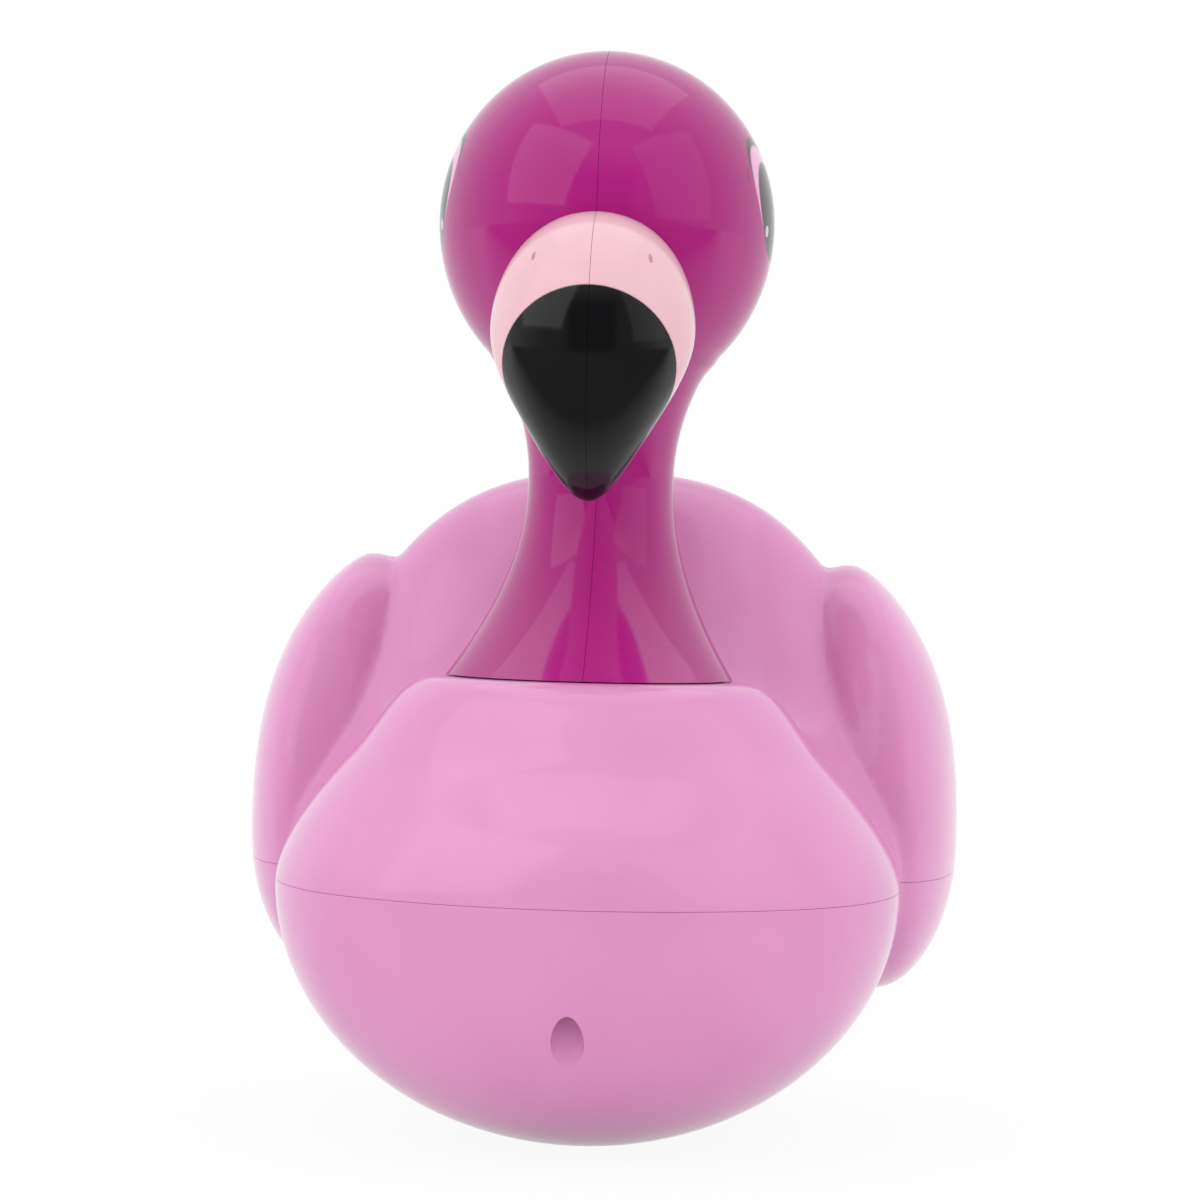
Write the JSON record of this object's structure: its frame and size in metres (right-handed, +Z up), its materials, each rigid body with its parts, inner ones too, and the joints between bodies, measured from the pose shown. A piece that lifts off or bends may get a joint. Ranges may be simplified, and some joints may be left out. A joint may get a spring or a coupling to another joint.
{
  "type": "remote-control water toy",
  "caption": "Flamingo-shaped floating pool toy: hollow pink body with folded wings, magenta neck and head, hooked beak, battery bay and propellers under the stern.",
  "frame": {"origin": "on the floor, under the middle of the toy's bounding box", "axes": "+Z up, -Y the way the bird looks and swims, +X to the bird's own left"},
  "size_m": [0.186, 0.228, 0.2751],
  "materials": {
    "pink_plastic": "moulded, glossy, light pink",
    "magenta_plastic": "moulded, high gloss, magenta",
    "pale_pink_plastic": "glossy, pale pink",
    "black_plastic": "high gloss, black",
    "grey_plastic": "fine satin, grey",
    "white_plastic": "satin, off-white",
    "rubber": "matt, black",
    "steel": "bare, lightly brushed",
    "brass": "drawn tube, bare",
    "cell_wrap": "shrink wrap, dark grey",
    "board_green": "lacquered laminate, green",
    "red_wire": "extruded insulation, red"
  },
  "bodies": {
    "toy": {"aerial_wire": "rubber", "ballast_bar_left": "steel", "ballast_bar_right": "steel", "battery_cell_1": "cell_wrap", "battery_cell_2": "cell_wrap", "battery_cell_3": "cell_wrap", "battery_contact_front": "steel", "battery_contact_rear": "steel", "battery_gasket": "rubber", "beak_band_left": "pale_pink_plastic", "beak_band_right": "pale_pink_plastic", "beak_tip_left": "black_plastic", "beak_tip_right": "black_plastic", "board_screw_left": "steel", "board_screw_right": "steel", "head_left": "magenta_plastic", "head_right": "magenta_plastic", "hull_gasket": "rubber", "hull_lower": "pink_plastic", "hull_screw_front": "steel", "hull_screw_mid_left": "steel", "hull_screw_mid_right": "steel", "hull_screw_rear_left": "steel", "hull_screw_rear_right": "steel", "hull_screw_stern": "steel", "hull_upper": "pink_plastic", "motor_clamp_left": "white_plastic", "motor_clamp_right": "white_plastic", "motor_lead_left": "red_wire", "motor_lead_right": "red_wire", "motor_left": "steel", "motor_right": "steel", "neck_retainer": "white_plastic", "neck_screw_left": "steel", "neck_screw_right": "steel", "propeller_guard_left": "grey_plastic", "propeller_guard_right": "grey_plastic", "receiver_board": "board_green", "stern_tube_left": "brass", "stern_tube_right": "brass", "switch_body": "steel", "water_contact_left": "steel", "water_contact_right": "steel"},
    "propeller_drive_left": {"motor_shaft_left": "steel", "shaft_coupling_left": "rubber", "propeller_shaft_left": "steel", "propeller_left": "white_plastic"},
    "propeller_drive_right": {"motor_shaft_right": "steel", "shaft_coupling_right": "rubber", "propeller_shaft_right": "steel", "propeller_right": "white_plastic"},
    "cover": {"battery_cover": "pink_plastic", "cover_screw_front": "steel", "cover_screw_rear": "steel"},
    "switch": {"switch_knob": "black_plastic"}
  },
  "joints": [
    {"name": "propeller_spin_left", "type": "hinge", "parent": "toy", "child": "propeller_drive_left", "pos_m": [0.026, 0.0945, 0.0235], "axis": [0, 1, 0], "continuous": true},
    {"name": "propeller_spin_right", "type": "hinge", "parent": "toy", "child": "propeller_drive_right", "pos_m": [-0.026, 0.0945, 0.0235], "axis": [0, 1, 0], "continuous": true},
    {"name": "cover_lift", "type": "slide", "parent": "toy", "child": "cover", "axis": [0, 0, -1], "range_m": [0, 0.03]},
    {"name": "switch_slide", "type": "slide", "parent": "toy", "child": "switch", "axis": [1, 0, 0], "range_m": [0, 0.003]}
  ]
}
